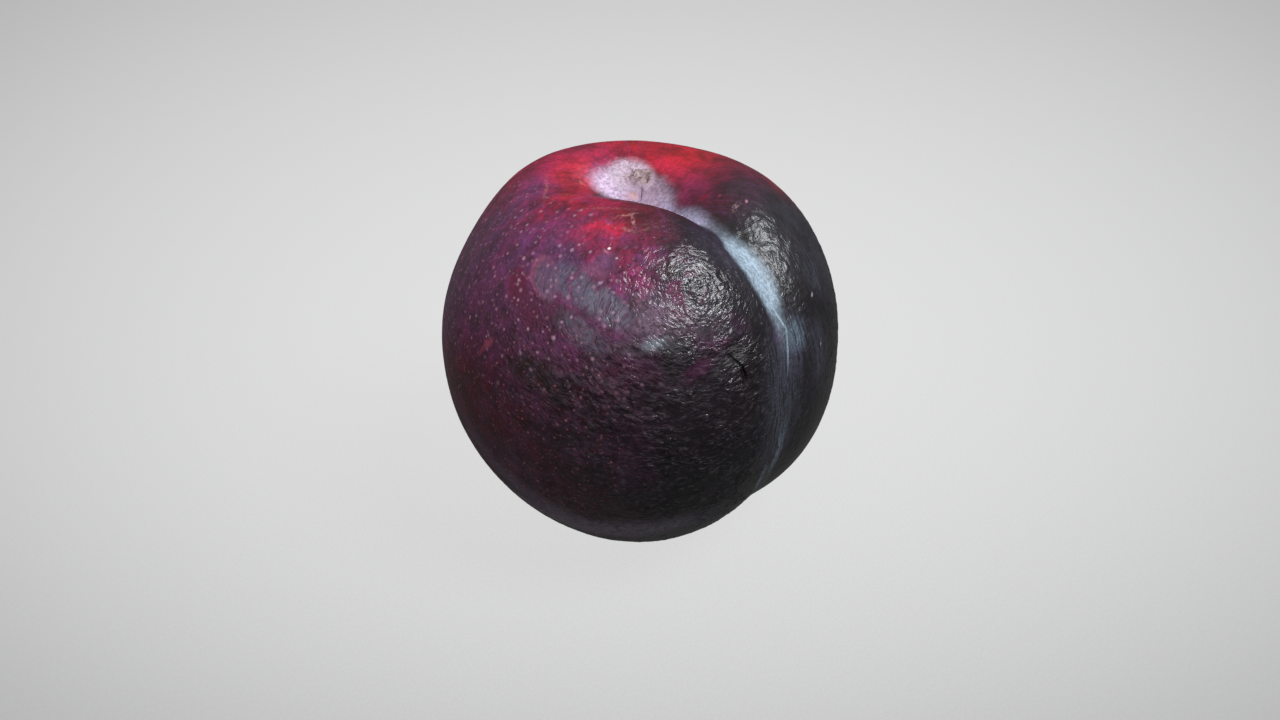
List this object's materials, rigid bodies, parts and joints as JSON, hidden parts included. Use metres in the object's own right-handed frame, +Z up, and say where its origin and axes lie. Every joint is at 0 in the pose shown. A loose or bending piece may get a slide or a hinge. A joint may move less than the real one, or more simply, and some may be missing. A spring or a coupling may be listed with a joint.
{
  "type": "plum",
  "caption": "Ripe dark plum: a round fruit with a stem cavity, a suture groove down one side, uneven shoulders and a small flat spot to stand on.",
  "frame": {"origin": "on the resting plane, under the middle of the fruit's bounding box", "axes": "+Z up along the stem axis, from the blossom end to the stem cavity; the suture groove faces -Y, in the plane x = 0; +X to the right as seen facing the suture"},
  "size_m": [0.0598, 0.0588, 0.0564],
  "materials": {
    "skin": "satin waxy fruit skin, dark purple with a red top, pale dots and a white bloom along the suture"
  },
  "bodies": {
    "root": {"plum": "skin"}
  },
  "joints": []
}
